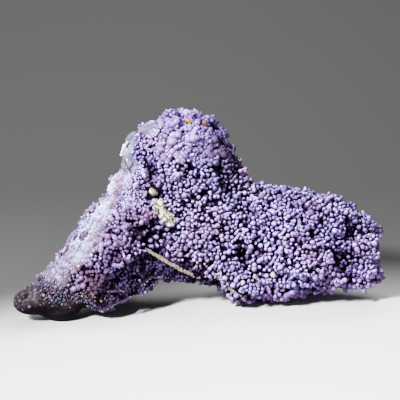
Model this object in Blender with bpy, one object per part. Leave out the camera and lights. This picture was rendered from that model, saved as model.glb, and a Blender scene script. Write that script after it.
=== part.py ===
"""A botryoidal chalcedony specimen, built in metres with +Z up.

The stone lies as it would on a shelf: a smooth worn foot at -X, a peak in the middle and a
round lobe at +X, with a low arch between the foot and the lobe. Its shown side faces -Y, and
its origin is on the shelf, under the middle of its box. The grape-like growths are modelled as
clusters, fused to the stone that they grew on.
"""

import math
import random

import bmesh
import bpy
from mathutils import Euler, Matrix, Vector, noise
from mathutils.bvhtree import BVHTree

MM = 0.001

# How finely the masses and then the clusters are fused, and how many faces are left at the end
BODY_VOXEL = 2.4 * MM
SKIN_VOXEL = 1.25 * MM
BODY_SMOOTHING = 8
FACE_BUDGET = 9300

# Swells that keep the body from looking like plain ellipsoids
SWELL_HEIGHT = 2.4 * MM
SWELL_SPACING = 26 * MM

# Grape clusters: the least distance between two, their radii, and how far out of the body their
# middles stand, as a share of the radius
CLUSTER_SPACING = 9.6 * MM
CLUSTER_TRIES = 16000
CLUSTER_SEED = 11
GRAPES = {"radii": (4.2 * MM, 6.8 * MM), "rise": 0.25}
FINE_GRAPES = {"radii": (2.8 * MM, 4.2 * MM), "rise": -0.1}
SLOPE_CRUST = {"radii": (4.4 * MM, 5.4 * MM), "rise": -0.62}

# The left slope: where it faces, how near to that its crust faces, and where it ends
SLOPE_OUT = Vector((-0.5, -0.65, 0.57)).normalized()
SLOPE_FACING = 0.72
SLOPE_RIGHT_END = -26 * MM

# Where the back of the limb starts, and how far left it faces
LIMB_BACK_END = -48 * MM
LIMB_BACK_FACING = -0.2

# The worn foot, which has no growths below its top and none at its tip
BARE_FOOT_TOP = 13 * MM
BARE_FOOT_END = -79 * MM
BARE_TIP_END = -118 * MM

# Masses of the stone in millimetres: centre, half sizes along, across and out, and the
# directions that along and out point in
MASSES = {
    "peak": ((-10, 12, 84), (34, 30, 42), (1, 0, 0), (0, 0, 1)),
    "summit": ((-19, 14, 111), (26, 22, 21), (1, 0, -0.1), (0, 0, 1)),
    "cheek": ((-36, 6, 98), (16, 17, 24), (1, 0, 0), (0, 0, 1)),
    "nape": ((-48, 2, 81), (13, 18, 19), (0.7, 0, 0.7), (-0.5, -0.3, 0.5)),
    "crown": ((0, 12, 120.5), (12, 13, 12), (1, 0, 0), (0, 0, 1)),
    "middle": ((6, 8, 56), (40, 32, 34), (1, 0, -0.3), (0, 0, 1)),
    "belly": ((8, 2, 33), (34, 24, 15), (1, 0, -0.1), (0, 0, 1)),
    "shoulder": ((34, 12, 51), (34, 32, 30), (1, 0, -0.25), (0, 0, 1)),
    "lobe": ((74, 12, 43), (44, 39, 32), (1, 0, -0.08), (0, 0, 1)),
    "lobe_end": ((101, 10, 39), (22, 30, 26), (1, 0, -0.3), (0, 0, 1)),
    "lobe_tail": ((113, 6, 26), (12, 20, 12), (1, 0, -0.1), (0, 0, 1)),
    "lobe_root": ((36, -4, 20), (21, 18, 14), (1, 0, 0), (0, 0, 1)),
    "lobe_sole": ((56, 17, 20), (38, 32, 14.5), (1, 0, 0.05), (0, 0, 1)),
    "sole_back": ((48, 38, 19.5), (30, 16, 15.5), (1, 0, 0), (0, 0, 1)),
    "sole_right": ((82, 20, 18.5), (18, 20, 12.5), (1, 0, 0), (0, 0, 1)),
    "limb": ((-61.5, -13, 53), (62, 28, 17.5), (-0.63, -0.33, -0.7), (-0.5, -0.65, 0.57)),
    "limb_back": ((-46, 6, 46), (46, 24, 18), (-0.66, -0.2, -0.72), (-0.5, 0.3, 0.6)),
    "apron": ((-26, -2, 39), (42, 22, 16), (1, 0.2, 0.1), (0, 0, 1)),
    "skirt": ((-64, -23, 24), (30, 18, 15), (-0.9, -0.35, -0.2), (0, 0, 1)),
    "instep": ((-97, -35, 27), (17, 14, 12), (-0.75, -0.2, -0.65), (-0.4, -0.3, 0.7)),
    "toe": ((-109, -42, 17), (18, 14, 11.5), (-0.97, -0.1, -0.2), (0, 0, 1)),
    "heel": ((-96, -37.5, 10.5), (16, 13, 11.6), (1, 0.1, 0), (0, 0, 1)),
}

# Hollows pressed into the body, in millimetres: from one end to the other, reach and depth
HOLLOWS = {
    "pocket": ((-40, -26, 58), (-28, -22, 50), 17, 12),
    "crease": ((-33, -18, 104), (-34, -24, 66), 9, 7),
    "peak_side": ((16, -18, 98), (24, -18, 84), 14, 5),
    "waist": ((24, -26, 40), (34, -26, 44), 14, 4),
    "lobe_top": ((104, -12, 62), (112, -8, 56), 12, 5),
    "lobe_front": ((98, -24, 34), (108, -20, 40), 12, 6),
}

# The tan seam that edges the underside, as points near the surface, in millimetres
SEAMS = (
    ((-37, -26, 46.5), (-27, -26, 41), (-17, -26.5, 35), (-7, -25.5, 29.5), (3, -24, 25)),
    ((17, -20, 18), (25, -20, 13), (33, -19, 8)),
)
SEAM_RADIUS = 1.6 * MM
SEAM_RISE = 5.0 * MM
SEAM_OUT = (0, -1, 1)

# Thin ledges of crust, in millimetres: centre, half sizes, along and out
LEDGES = {
    "lip": ((-47, 0, 111), (15, 9, 2.6), (0.42, 0.1, 0.9), (-0.9, -0.15, 0.42)),
    "hem": ((-66, -37, 9.5), (13, 9, 2.0), (1, 0.1, 0.05), (0.1, -0.3, 1)),
    "hem_left": ((-82, -42, 17), (11, 8, 1.8), (1, 0.2, -0.3), (0.2, -0.3, 1)),
    "eave": ((-40, -22, 20), (14, 10, 2.0), (1, 0.3, 0.4), (-0.2, -0.2, 1)),
}

# Cream crystals in the crease, in millimetres: place near the surface, size and turn about X, Y, Z
CRYSTALS = (
    ((-32, -14, 85), 4.6, (20, 30, 10)),
    ((-30.5, -14, 82), 3.6, (50, 10, 40)),
    ((-30, -17, 76.5), 4.2, (10, 40, 25)),
    ((-27, -21, 73.5), 5.4, (35, 15, 60)),
    ((-24, -22, 71), 4.4, (60, 25, 5)),
    ((-21, -25, 68.5), 4.8, (15, 55, 35)),
    ((-18, -24, 65.5), 4.0, (40, 20, 70)),
)
CRYSTAL_RISE = 0.4 * MM
CRYSTAL_LENGTH = 1.35

# The shelf, which the lowest growths are worn flat against
SHELF_SIDE = 400 * MM
SHELF_DEPTH = 30 * MM

CHALCEDONY_COLOUR = (0.37, 0.27, 0.62, 1)
CHALCEDONY_ROUGHNESS = 0.38


def clear_scene():
    for obj in list(bpy.data.objects):
        bpy.data.objects.remove(obj)


def turned(along, out):
    """The rotation that takes X to along and Z as near to out as it can."""
    x_axis = Vector(along).normalized()
    y_axis = Vector(out).cross(x_axis).normalized()
    z_axis = x_axis.cross(y_axis)
    return Matrix((x_axis, y_axis, z_axis)).transposed().to_4x4()


def add_object(name, mesh):
    obj = bpy.data.objects.new(name, mesh)
    bpy.context.scene.collection.objects.link(obj)
    return obj


def block(name, sizes, place):
    """A box of the given sizes, which the place matrix turns and moves."""
    shape = bmesh.new()
    bmesh.ops.create_cube(shape, size=1, matrix=place @ Matrix.Diagonal((*sizes, 1)))
    mesh = bpy.data.meshes.new(name)
    shape.to_mesh(mesh)
    shape.free()
    return add_object(name, mesh)


class Shapes:
    """Overlapping closed shapes, gathered to be fused into one."""

    def __init__(self):
        self.points = []
        self.faces = []
        self.balls = {}

    def unit_ball(self, divisions):
        if divisions not in self.balls:
            shape = bmesh.new()
            bmesh.ops.create_icosphere(shape, subdivisions=divisions, radius=1)
            points = [vertex.co.copy() for vertex in shape.verts]
            faces = [[vertex.index for vertex in face.verts] for face in shape.faces]
            self.balls[divisions] = (points, faces)
            shape.free()
        return self.balls[divisions]

    def add_ball(self, centre, radii, along=(1, 0, 0), out=(0, 0, 1), divisions=2):
        """An ellipsoid, with its radii along, across and out."""
        place = Matrix.Translation(centre) @ turned(along, out) @ Matrix.Diagonal((*radii, 1))
        points, faces = self.unit_ball(divisions)
        first = len(self.points)
        self.points += [place @ point for point in points]
        self.faces += [[first + i for i in face] for face in faces]

    def add_mesh(self, mesh):
        first = len(self.points)
        self.points += [vertex.co.copy() for vertex in mesh.vertices]
        self.faces += [[first + i for i in face.vertices] for face in mesh.polygons]

    def as_object(self, name):
        mesh = bpy.data.meshes.new(name)
        mesh.from_pydata(self.points, [], self.faces)
        return add_object(name, mesh)


def apply_modifiers(obj):
    """Replaces the object's mesh by what its modifiers make of it."""
    graph = bpy.context.evaluated_depsgraph_get()
    made = bpy.data.meshes.new_from_object(obj.evaluated_get(graph))
    obj.modifiers.clear()
    obj.data = made


def fuse(obj, voxel, smoothing):
    """Turns overlapping closed shapes into one closed skin, and rounds its creases."""
    skin = obj.modifiers.new("fuse", "REMESH")
    skin.mode = "VOXEL"
    skin.voxel_size = voxel
    rounding = obj.modifiers.new("round", "SMOOTH")
    rounding.iterations = smoothing
    apply_modifiers(obj)


def press(point):
    """How far the hollows push a point of the body inwards."""
    depth = 0
    for start, end, reach, deepest in HOLLOWS.values():
        start, end = Vector(start) * MM, Vector(end) * MM
        span = end - start
        share = max(0, min(1, (point - start).dot(span) / span.length_squared))
        away = (point - start - span * share).length / (reach * MM)
        if away < 1:
            depth += deepest * MM * (1 - away * away) ** 2
    return depth


def bare_body():
    """The stone under its growths."""
    shapes = Shapes()
    for centre, radii, along, out in MASSES.values():
        shapes.add_ball(Vector(centre) * MM, Vector(radii) * MM, along, out, divisions=4)
    body = shapes.as_object("body")
    fuse(body, BODY_VOXEL, BODY_SMOOTHING)
    moves = []
    for vertex in body.data.vertices:
        swell = noise.noise(vertex.co / SWELL_SPACING) * SWELL_HEIGHT
        moves.append(vertex.normal * (swell - press(vertex.co)))
    for vertex, move in zip(body.data.vertices, moves):
        vertex.co += move
    return body


def scattered(body, tries, spacing, seed):
    """Points spread over the body at least spacing apart, each with the surface's normal."""
    chance = random.Random(seed)
    body.data.calc_loop_triangles()
    corners = [vertex.co for vertex in body.data.vertices]
    triangles = body.data.loop_triangles
    areas = [triangle.area for triangle in triangles]
    kept = []
    cells = {}
    for index in chance.choices(range(len(triangles)), weights=areas, k=tries):
        a, b, c = (corners[i] for i in triangles[index].vertices)
        u, v = chance.random(), chance.random()
        if u + v > 1:
            u, v = 1 - u, 1 - v
        point = a + (b - a) * u + (c - a) * v
        column, row, layer = (math.floor(x / spacing) for x in point)
        near = [
            other
            for i in (-1, 0, 1)
            for j in (-1, 0, 1)
            for k in (-1, 0, 1)
            for other in cells.get((column + i, row + j, layer + k), ())
        ]
        if all((point - other).length >= spacing for other in near):
            cells.setdefault((column, row, layer), []).append(point)
            kept.append((point, triangles[index].normal.copy()))
    return kept


def growth_at(point, normal):
    """Which growth covers the body at a point: grapes, the slope's crust, or None where it is bare."""
    if point.x < BARE_TIP_END or (point.x < BARE_FOOT_END and point.z < BARE_FOOT_TOP):
        return None
    if point.x < SLOPE_RIGHT_END and normal.dot(SLOPE_OUT) > SLOPE_FACING:
        return SLOPE_CRUST
    if point.x < BARE_FOOT_END or (point.x < LIMB_BACK_END and normal.x < LIMB_BACK_FACING):
        return FINE_GRAPES
    return GRAPES


def add_clusters(shapes, body):
    chance = random.Random(CLUSTER_SEED)
    for point, normal in scattered(body, CLUSTER_TRIES, CLUSTER_SPACING, CLUSTER_SEED):
        growth = growth_at(point, normal)
        size = chance.uniform(0, 1)
        if growth:
            low, high = growth["radii"]
            radius = low + (high - low) * size
            shapes.add_ball(point + normal * radius * growth["rise"], (radius,) * 3)


def add_seams(shapes, surface):
    """Rounded rods that follow the surface from point to point."""
    for route in SEAMS:
        hits = [surface.find_nearest(Vector(point) * MM) for point in route]
        ends = [spot + normal * SEAM_RISE for spot, normal, _, _ in hits]
        for start, end in zip(ends, ends[1:]):
            reach = (end - start).length / 2 + SEAM_RADIUS
            radii = (reach, SEAM_RADIUS, SEAM_RADIUS)
            shapes.add_ball((start + end) / 2, radii, end - start, SEAM_OUT)


def add_ledges(shapes):
    for centre, radii, along, out in LEDGES.values():
        shapes.add_ball(Vector(centre) * MM, Vector(radii) * MM, along, out, divisions=3)


def combine(obj, tool, operation):
    """Joins the tool to the object or cuts it away, and removes the tool."""
    change = obj.modifiers.new(operation.lower(), "BOOLEAN")
    change.operation = operation
    change.object = tool
    apply_modifiers(obj)
    bpy.data.objects.remove(tool)


def join_crystals(stone):
    """Grows the blunt flat-faced crystals out of the stone, one after the other."""
    for place, size, turn in CRYSTALS:
        surface = BVHTree.FromObject(stone, bpy.context.evaluated_depsgraph_get())
        spot, normal, _, _ = surface.find_nearest(Vector(place) * MM)
        lean = Euler([math.radians(angle) for angle in turn]).to_matrix().to_4x4()
        sizes = (size * MM, size * MM, size * MM * CRYSTAL_LENGTH)
        crystal = block("crystal", sizes, Matrix.Translation(spot + normal * CRYSTAL_RISE) @ lean)
        combine(stone, crystal, "UNION")


def rest_on_shelf(stone):
    """Cuts the lowest growths flat where the shelf's top is."""
    place = Matrix.Translation((0, 0, -SHELF_DEPTH / 2))
    shelf = block("shelf", (SHELF_SIDE, SHELF_SIDE, SHELF_DEPTH), place)
    combine(stone, shelf, "DIFFERENCE")


def centre_over_origin(obj):
    """Moves the mesh so that the middle of its box is over the origin."""
    points = [vertex.co for vertex in obj.data.vertices]
    low = Vector([min(point[i] for point in points) for i in range(3)])
    high = Vector([max(point[i] for point in points) for i in range(3)])
    middle = (low + high) / 2
    obj.data.transform(Matrix.Translation((-middle.x, -middle.y, 0)))


def give_material(obj):
    material = bpy.data.materials.new("chalcedony")
    material.use_nodes = True
    shader = material.node_tree.nodes["Principled BSDF"]
    shader.inputs["Base Color"].default_value = CHALCEDONY_COLOUR
    shader.inputs["Roughness"].default_value = CHALCEDONY_ROUGHNESS
    obj.data.materials.append(material)


def main():
    clear_scene()
    body = bare_body()
    surface = BVHTree.FromObject(body, bpy.context.evaluated_depsgraph_get())
    shapes = Shapes()
    shapes.add_mesh(body.data)
    add_clusters(shapes, body)
    add_seams(shapes, surface)
    add_ledges(shapes)
    stone = shapes.as_object("chalcedony")
    bpy.data.objects.remove(body)
    fuse(stone, SKIN_VOXEL, 1)
    thin = stone.modifiers.new("thin", "DECIMATE")
    thin.ratio = FACE_BUDGET / (2 * len(stone.data.polygons))
    apply_modifiers(stone)
    join_crystals(stone)
    rest_on_shelf(stone)
    centre_over_origin(stone)
    give_material(stone)


main()
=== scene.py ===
"""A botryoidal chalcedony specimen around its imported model: the dark bed under the growths, the
grapes on their stalks, the fine crust of the left slope, the glassy lip, the cream crystals, the
tan seams, the ledges of the underside, and the studio that it is shown in.

Lengths in the tables are millimetres in the stone's frame: +X runs from the worn foot to the round
lobe, +Y from the shown front to the back, and +Z up from the shelf.
"""

import itertools
import math
from collections import namedtuple
from contextlib import contextmanager

import bpy
import numpy as np
from bpy.props import FloatProperty, FloatVectorProperty, IntProperty, PointerProperty
from mathutils import Matrix, Vector
from mathutils.bvhtree import BVHTree


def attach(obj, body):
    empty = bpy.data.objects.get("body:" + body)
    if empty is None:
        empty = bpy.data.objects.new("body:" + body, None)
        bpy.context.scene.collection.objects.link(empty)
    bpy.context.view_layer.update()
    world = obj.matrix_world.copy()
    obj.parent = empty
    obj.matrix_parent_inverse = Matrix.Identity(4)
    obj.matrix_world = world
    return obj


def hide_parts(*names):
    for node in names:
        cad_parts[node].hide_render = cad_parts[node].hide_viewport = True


bl_info = {
    "name": "Botryoidal chalcedony",
    "version": (1, 0, 0),
    "blender": (4, 5, 0),
    "location": "3D View > Sidebar > Chalcedony",
    "description": "Grows the crust of a botryoidal chalcedony specimen over its solid",
    "category": "Object",
}

MM = 0.001
NODE = "chalcedony"

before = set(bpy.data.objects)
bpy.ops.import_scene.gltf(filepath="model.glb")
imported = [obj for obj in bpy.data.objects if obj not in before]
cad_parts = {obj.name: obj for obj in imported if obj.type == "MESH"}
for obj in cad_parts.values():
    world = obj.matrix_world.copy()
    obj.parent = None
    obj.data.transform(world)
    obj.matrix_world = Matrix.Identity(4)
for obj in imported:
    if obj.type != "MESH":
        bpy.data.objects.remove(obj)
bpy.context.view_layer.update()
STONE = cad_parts[NODE]

SEED = 7

# Lines that part the growths. Heights and the X that each runs at: the crest between the pale left
# slope and the front, and the right edge of the slope's fine crust
RIDGE = ((14, 26, 38, 53, 71, 90, 112, 126), (-82, -75, -65, -52, -36, -36, -37, -34))
SLOPE = (
    (18, 25, 32, 39, 44, 52, 63, 73, 80, 90, 104),
    (-100, -93, -87, -81, -75, -71, -68, -61, -57, -54, -51),
)

# X and heights: the upper edges of the dark underside, of the worn foot's bare skin and of the dirty
# grains above it, and the lower edge of the small bumps on the bare skin
UNDER = ((-82, -68, -54, -39, -19, 1, 15, 30), (14, 27, 37, 47, 36, 25, 12, 4))
BARE = ((-126, -115, -110, -103, -97, -86, -78), (40, 31, 24, 18, 16, 15, 12))
WORN = ((-126, -112, -100, -88, -78, -70, -62), (42, 31, 28, 26, 22, 17, 8))
TOE = ((-126, -112, -100, -88, -78), (12, 8, 4, 2, 2))

# Where the slope faces, and its back edge: its Y at a height, and how far back it leans below that
SLOPE_OUT = Vector((-0.5, -0.65, 0.57)).normalized()
SLOPE_BACK_Y = -12
SLOPE_BACK_Z = 67
SLOPE_BACK_LEAN = 0.46

# Where each growth begins and where it is whole: along an axis, past one of the lines, or behind the
# slope's back edge in millimetres, or by how far the skin faces a side
EDGES = {
    "lobe x": (20, 60), "back facing": (0.15, 0.45), "front facing": (0.35, -0.15),
    "top z": (103, 114), "top x": (-38, -30), "sole z": (18, 12), "sole x": (14, 24), "pocket": (17, 13),
    "under": (-4, 1), "under x": (20, 10), "ridge": (-8, -4), "ridge end": (1, -1),
    "shoulder": (-3, 0), "shoulder z": (72, 78),
    "slope": (-1, 2), "slope facing": (0.2, 0.4), "slope back": (0, -2),
    "rim back": (0, 2), "rim x": (-34, -42), "rim facing": (0.65, 0.4),
    "crest z": (99, 104), "crest x": (-27, -33), "worn": (3, -2), "worn x": (-50, -60),
    "bare": (1, -2), "bare x": (-76, -79), "above bare": (0, 8), "toe": (-1, 5), "toe lit": (-0.6, 0.5),
    "facing down": (-0.2, -0.7), "facing up": (0.45, 0.9), "lobe top x": (10, 25),
    "frost height": (-3.6, -0.8), "deep": (-1.6, -3.4), "crust dirt z": (66, 27), "crust edge": (14, 2),
    "crust mauve": (0.2, 0.9), "crust hollow": (0.15, 0.75), "lip sinks z": (116, 124),
}
CREST_BACK = 32
TOE_SHARE = 0.6

# Hollows in the crust: middle, reach and how much deeper the growths stand there
HOLLOWS = (
    ((-37, -23, 55), 17, 2.4),
    ((15, -10, 98), 11, 2.6),
    ((22, -6, 84), 8, 1.5),
    ((-12, -19, 100), 8, 1.8),
    ((105, -12, 58), 11, 2.8),
    ((97, -25, 42), 13, 2.8),
    ((28, -20, 45), 11, 2.4),
    ((60, -27, 38), 8, 1.8),
    ((-35, -14, 98), 7, 2.4),
    ((-33, -15, 84), 9, 3.2),
    ((16, 6, 131), 12, 6.0),
    ((-35, -9, 105), 7, 1.4),
    ((-123, -47, 28), 14, 3.6),
)

# Patches where the growths stand further out: middle, reach and how far
RISES = (
    ((29, 16, 91), 16, 3.4),
    ((19, 14, 113), 12, 3.4),
)

# Patches of painted light, where the tips are painted whiter, as middle, reach and how much
PAINTED_LIGHT_PATCHES = (
    ((46, -26, 46), 34, 1.7),
    ((8, -24, 70), 26, 0.8),
    ((-14, -14, 104), 22, 0.5),
    ((-12, -6, 120), 14, 2.0),
    ((-30, 0, 130), 14, 2.0),
    ((18, -22, 21), 11, 1.2),
    ((-72, -36, 46), 12, 0.8),
    ((-59, -22, 72), 12, 1.0),
)

# Patches of painted shade, darker and less white, as middle, reach and how much
PAINTED_SHADES = (
    ((25, 0, 114), 27, 0.66),
    ((22, -7, 97), 20, 0.66),
    ((104, -14, 50), 32, 0.14),
    ((-2, -10, 106), 22, 0.3),
    ((14, -12, 84), 16, 0.3),
    ((6, -3, 120), 11, 0.35),
    ((0, 2, 136), 11, 0.35),
    ((112, -10, 62), 16, 0.45),
    ((100, -20, 36), 14, 0.4),
    ((70, -6, 88), 14, 0.35),
    ((-58, -38, 40), 15, 0.45),
    ((-70, -42, 27), 14, 0.5),
    ((-45, -31, 45), 12, 0.4),
    ((-30, -24, 66), 9, 0.4),
    ((-33, -9, 104), 9, 0.12),
    ((-6, -22, 58), 30, 0.12),
)

# Where the foot is stained green, as middle, reach and how much
STAINS = (
    ((-108, -46, 22), 9, 0.9),
    ((-97, -47, 15), 8, 0.6),
)

# Single grapes that stand out: middle, radius and colour
SINGLES = (
    ((-28.6, 3.5, 128.5), 2.9, (0.20, 0.14, 0.30)),
    ((48.3, -25.0, 28.2), 1.9, (0.44, 0.41, 0.33)),
    ((36.0, -24.0, 26.6), 1.5, (0.25, 0.20, 0.18)),
    ((27.6, -26.0, 23.2), 1.7, (0.38, 0.34, 0.34)),
    ((-38.4, 1.6, 117.6), 1.3, (0.58, 0.44, 0.14)),
    ((-37.6, -4.0, 112.0), 1.6, (0.43, 0.39, 0.34)),
    ((-84.0, -41.6, 38.8), 1.2, (0.58, 0.44, 0.14)),
    ((-10.4, -4.4, 132.4), 1.1, (0.45, 0.16, 0.05)),
    ((1.2, -0.6, 130.4), 1.9, (0.11, 0.045, 0.04)),
)

# Stained spots on the grapes: middle, reach and colour
SPOTS = (
    ((-10.4, -4.4, 132.4), 1.7, (0.62, 0.21, 0.02)),
    ((1.2, 0.6, 130.2), 2.6, (0.17, 0.06, 0.03)),
    ((-3.0, 4.0, 137.0), 1.8, (0.33, 0.16, 0.11)),
    ((-26.0, 0.0, 131.2), 1.7, (0.33, 0.16, 0.17)),
)

# The tan seams that edge the underside, and a thin one on the lip, with their half widths
SEAMS = {
    "seam_upper": (((-40, -26.6, 47.4), (-29.4, -26.8, 40.8), (-19.1, -27.6, 35.0), (-8.9, -26.6, 29.2),
                    (-1.6, -25.6, 26.4)), 1.3),
    "seam_lower": (((17.0, -22.4, 18.6), (20.9, -23.2, 16.0), (25.1, -22.8, 12.8),
                    (29.2, -22.8, 9.8)), 1.0),
    "seam_lip": (((-55.0, -9.6, 107.0), (-53.6, -10.8, 102.6), (-51.6, -11.8, 97.6)), 0.7),
}

# The thin ledges of the underside, along their outer edges, and how far they stand out
LEDGES = {
    "ledge_low": (((-73, -45.0, 23.0), (-62, -45.6, 21.6), (-53, -44.4, 22.4), (-45, -34, 24.0),
                   (-36, -27, 26.0), (-26, -27.4, 28.6)), 1.8),
    "ledge_hem": (((-76, -47.0, 13.6), (-68, -45.6, 10.6), (-61, -43.4, 10.8), (-54, -42.4, 15.0),
                   (-44, -34, 19.6), (-38, -29, 22.6)), 1.8),
}
LEDGE_OUT = (-0.1, -1, -0.35)
LEDGE_HALF = 0.75

# A seam's strands: how many, how far from its line they lie, and how wide and thick they are, in
# its half widths
STRANDS = 3
STRANDS_APART = 0.55
STRAND_WIDE = 0.7
STRAND_THICK = 0.6

# Seams and ledges: the length of a step along them, the fewest steps, how many times their line is
# smoothed, and how rough they are in fine and coarse waves
STRIP_STEP = 0.45 * MM
STRIP_LEAST = 8
STRIP_ROUNDS = 8
STRIP_ROUGH = (0.4, 0.36)

# The glassy lip: its middle line, its grid, how far from the line it reaches, how high it stands,
# how far it sinks in at the top, and how thick it is
LIP = ((-53.5, -4, 104), (-52.5, 1, 109), (-49, 5, 115), (-45, 9, 121), (-38.5, 12, 127))
LIP_VOXEL = 0.9 * MM
LIP_REACH = 9.4
LIP_HEIGHT = (-1.2, 2.2)
LIP_SINKS = 2.2
LIP_THICK = 3.0

# The shiny nodule in the crease, and the knob on the slope: middle, size and where it points
NODULE = ((-34.2, -15.4, 84.6), 2.8, (-0.2, -0.9, 0.3))
KNOB = ((-81.7, -27.4, 56.4), 2.8, (-0.59, -0.45, 0.67))
KNOB_VOXEL = 0.28 * MM

# The cream crystals: the line that they lie along, how far from it they spread and how much of that
# is outward, how many there are, their sizes in millimetres and how long they are for these
CRYSTALS = ((-32.4, -19.6, 77.8), (-28.8, -23.6, 74.0), (-25.0, -25.0, 70.8), (-22.0, -27.0, 67.6))
CRYSTAL_SPREAD = 0.42 * 4.0
CRYSTAL_OUTWARD = -0.45
CRYSTAL_COUNT = 130
CRYSTAL_SIZES = (0.6, 1.8)
CRYSTAL_LENGTHS = (0.8, 1.3)

# The pale blades on the lip: middle, size and where they point
BLADES = (
    ((-54.6, -4.6, 113.4), 1.3, (0.3, -0.1, 0.9)),
    ((-55.6, -5.0, 110.4), 1.2, (0.25, 0.0, 0.9)),
    ((-53.4, -4.4, 110.8), 1.0, (0.3, 0.0, 0.9)),
    ((-52.6, -3.4, 116.6), 0.8, (0.62, 0.0, 0.8)),
)
BLADE_STRETCH = 3.0

# Black creases, where the bed lies deeper and nothing grows, and its near-black colour, partly
# painted shade, shows: their lines and reach
CREASES = (
    (((-34.5, -4.0, 113), (-37, -10.5, 101), (-37.5, -14, 91), (-32, -16, 84)), 2.0),
    (((-51, -27.5, 74), (-42, -26, 72)), 1.6),
    (((-36, -22, 66), (-27, -22.5, 64)), 2.0),
    (((14, -11, 100), (19, -9, 93)), 2.2),
)
CREASE_DEPTH = 3.5

# Where no grapes grow, because something else shows: lines and reach
CLEAR = (
    *CREASES, *((line, reach + 0.5) for line, reach in SEAMS.values()),
    (CRYSTALS, 4.6), (LIP, 9.0), ((NODULE[0], NODULE[0]), 6.4), ((KNOB[0], KNOB[0]), 4.4),
)

# Balls that no bead may grow into: middle and radius
KEPT_FREE = (
    ((-34.8, -17.4, 85.8), 3.4),
    ((-35.4, -16.0, 89.0), 2.6),
    *((place, 2.2) for place in CRYSTALS),
    *((place, 3.0) for place in LIP),
)

POCKET = HOLLOWS[0][0]

# The growths on each part of the stone. size: least and largest radius, in usual grape radii. apart:
# how near two bunches may stand, in sums of their radii. beads: how many a bunch has. step: how near
# these stand. out: how far out they lie, in millimetres. stalk: its half width, in radii. Then how
# white the upper sides are, from frost and from a painted highlight where the light falls. buds: how
# many a grape has. deeper: how often one more stands deeper
Growth = namedtuple("Growth", "size apart beads step out stalk frost buds deeper colour")
GROWTHS = {
    "front": Growth((0.56, 1.25), 1.04, (1, 3), 0.82, (-2.2, 0.6), 0.6, 0.85, 0.4, 0.35, "lavender"),
    "lobe": Growth((0.6, 1.25), 1.0, (1, 3), 0.84, (-2.2, 0.6), 0.6, 0.72, 0.5, 0.5, "violet"),
    "back": Growth((1.25, 1.85), 0.94, (1, 3), 0.84, (-2.6, 0.0), 0.6, 0.55, 0.1, 0.1, "violet"),
    "top": Growth((0.9, 2.0), 0.6, (1, 3), 0.56, (-3.6, -1.0), 0.6, 0.54, 1.6, 0.3, "bluish"),
    "sole": Growth((0.9, 1.4), 0.96, (1, 3), 0.88, (-2.4, 0.2), 0.62, 0.6, 0.3, 0.4, "violet"),
    "ridge": Growth((0.6, 1.45), 0.84, (1, 3), 0.74, (-3.0, 0.4), 0.6, 0.34, 0.7, 0.4, "ridge_painted_shade"),
    "rim": Growth((0.55, 0.95), 0.8, (1, 3), 0.74, (-2.2, -0.5), 0.85, 0.2, 0.3, 0.3, "mauve"),
    "crest": Growth((0.5, 1.1), 0.8, (1, 3), 0.66, (-2.2, 0.0), 0.85, 0.9, 0.4, 0.3, "bluish"),
    "shoulder": Growth((0.4, 1.0), 0.66, (1, 3), 0.66, (-1.9, -0.5), 0.9, 0.95, 0.3, 0.0, "mauve"),
    "pocket": Growth((0.9, 1.2), 1.22, (1, 1), 0.8, (-1.4, 0.4), 0.14, 0.6, 0.0, 0.15, "lavender"),
    "under": Growth((0.5, 1.15), 0.8, (1, 2), 0.7, (-2.8, -0.4), 0.8, 0.05, 0.2, 0.6, "underside_painted_shade"),
    "foot": Growth((0.32, 0.85), 0.7, (1, 3), 0.7, (-1.9, -0.2), 0.9, 0.1, 0.0, 0.0, "dusty"),
    "toe": Growth((0.3, 0.75), 0.9, (1, 2), 0.7, (-1.0, -0.4), 0.9, 0.05, 0.0, 0.0, "dusty"),
}

# How deep the bed lies under some growths, in shares of its usual depth
BED_SHARES = {"top": 0.7, "slope": 0.2, "ridge": 1.1, "rim": 0.6, "shoulder": 0.4, "foot": 0.3, "bare": 0.0}

# The bed's colour where it shows through some growths, and how bright it is of that
BED_TINTS = {"top": ("bluish", 0.3), "slope": ("pale", 0.8), "foot": ("dusty", 0.3)}

# Hills over the stone, as sums of waves with their spacing in millimetres, seed and height: how far
# out the bunches stand, and the dents of a grape as shares of its size
LEVEL_HILLS = ((12, SEED + 1, 0.6), (6, SEED + 5, 0.4))
GRAPE_DENTS = ((1.5, SEED + 12, 0.10), (0.8, SEED + 13, 0.07))

# Where the white of the upper sides faces, frost and a painted highlight towards the light, from where
# to where it comes in, how it varies, how white it gets at most, and how much further out the pocket's
# grapes count as
FROST_AND_HIGHLIGHT_SIDE = np.array((-0.38, -0.42, 0.82))
FROST_AND_HIGHLIGHT_EDGE = (0.18, 0.90)
FROST_AND_HIGHLIGHT_HILLS = ((14, SEED + 15, 0.35), (4.5, SEED + 16, 0.45))
FROST_AND_HIGHLIGHT_CHANCE = (0.35, 1.3)
WHITEST = 0.95
POCKET_AS_IF = 3.0

# How the skin shifts where it is bluer, how dark and bright a grape may be of its colour, and how
# much darker the lobe's upper side is painted, as painted shade
BLUER = np.array((-0.15, -0.05, 0.08))
LIGHT_LIMITS = (0.45, 1.5)
LOBE_TOP_PAINTED_SHADE = 0.4

# Bunches: how much the draws favour small first beads and short bunches, the spacing of the gaps
# between them, below which wave and above which step of beads there is one, how far they sink in
# underneath, and how deep in the bed they are rooted
FAVOUR_SMALL = 1.5
FAVOUR_SHORT = 1.6
GAP_SPACING = 5.5 * MM
GAP_BELOW = -0.62
GAP_STEP = 0.7
SUNK_UNDERNEATH = 1.5
ROOT_DEEPER = 1.0

# Stalks: the height in a unit ball below which its points are drawn down to the root, and how much
# wider these are set than in the ball
STALK_BELOW = -0.8
STALK_WIDER = 1.6

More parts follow.
